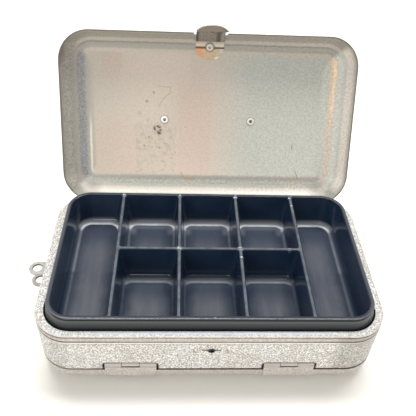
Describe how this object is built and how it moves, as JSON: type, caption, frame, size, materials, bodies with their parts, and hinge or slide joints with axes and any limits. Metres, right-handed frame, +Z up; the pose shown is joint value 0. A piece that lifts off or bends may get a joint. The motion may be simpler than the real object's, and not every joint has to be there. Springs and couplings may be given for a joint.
{
  "type": "fly box",
  "caption": "Double-sided metal fly box with hinged lids, spring latches, a moulded tray of compartments on each side, a belt loop and a strap bracket.",
  "frame": {"origin": "centre of the bottom lid's flat outer face, on which the box stands", "axes": "+Z up through the box to the top tray; +X along the length, away from the strap bracket; -Y towards the side where the top lid latches"},
  "size_m": [0.1914, 0.1588, 0.142],
  "materials": {
    "case_lacquer": "silver crinkle lacquer outside, beige-grey smooth lacquer inside the lids, worn at the edges",
    "partition_tinplate": "plain rolled tinplate",
    "tray_plastic": "dark blue-grey moulded plastic, glossy on the walls, satin on the floors",
    "loop_steel": "bent nickel-plated steel strip, lightly tarnished",
    "rivet_steel": "plated hollow rivets, lightly scratched",
    "latch_steel": "dull grey spring steel with a few rust-brown spots",
    "hinge_steel": "silver lacquer on the leaves, bare yellowish metal on the knuckles",
    "pin_steel": "drawn steel wire"
  },
  "bodies": {
    "case": {"body_shell": "case_lacquer", "partition_plate": "partition_tinplate", "bottom_tray": "tray_plastic", "strap_bracket": "loop_steel", "strap_bracket_rivets": "rivet_steel", "top_left_hinge_body_leaf": "hinge_steel", "top_left_hinge_pin": "pin_steel", "top_right_hinge_body_leaf": "hinge_steel", "top_right_hinge_pin": "pin_steel", "bottom_left_hinge_body_leaf": "hinge_steel", "bottom_left_hinge_pin": "pin_steel", "bottom_right_hinge_body_leaf": "hinge_steel", "bottom_right_hinge_pin": "pin_steel"},
    "lifting_tray": {"top_tray": "tray_plastic"},
    "upper_lid": {"top_lid": "case_lacquer", "belt_loop": "loop_steel", "belt_loop_rivets": "rivet_steel", "top_latch_foot": "latch_steel", "top_latch_rivet": "rivet_steel", "top_left_hinge_lid_leaf": "hinge_steel", "top_right_hinge_lid_leaf": "hinge_steel"},
    "upper_latch": {"top_latch_tongue": "latch_steel"},
    "lower_lid": {"bottom_lid": "case_lacquer", "bottom_latch_foot": "latch_steel", "bottom_latch_rivet": "rivet_steel", "bottom_left_hinge_lid_leaf": "hinge_steel", "bottom_right_hinge_lid_leaf": "hinge_steel"},
    "lower_latch": {"bottom_latch_tongue": "latch_steel"}
  },
  "joints": [
    {"name": "top_lid_hinge", "type": "hinge", "parent": "case", "child": "upper_lid", "pos_m": [0, 0.051, 0.0389], "axis": [-1, 0, 0], "range_deg": [-115, 0]},
    {"name": "bottom_lid_hinge", "type": "hinge", "parent": "case", "child": "lower_lid", "pos_m": [0, -0.051, 0.0165], "axis": [-1, 0, 0], "range_deg": [0, 115]},
    {"name": "top_latch_flex", "type": "hinge", "parent": "upper_lid", "child": "upper_latch", "pos_m": [0, 0.10477, 0.12231], "axis": [-1, 0, 0], "range_deg": [0, 5], "stiffness_Nm_per_rad": 0.6},
    {"name": "bottom_latch_flex", "type": "hinge", "parent": "lower_lid", "child": "lower_latch", "pos_m": [0, 0.04732, 0.00302], "axis": [-1, 0, 0], "range_deg": [0, 5], "stiffness_Nm_per_rad": 0.6},
    {"name": "top_tray_lift", "type": "slide", "parent": "case", "child": "lifting_tray", "axis": [0, 0, 1], "range_m": [0, 0.04]}
  ]
}
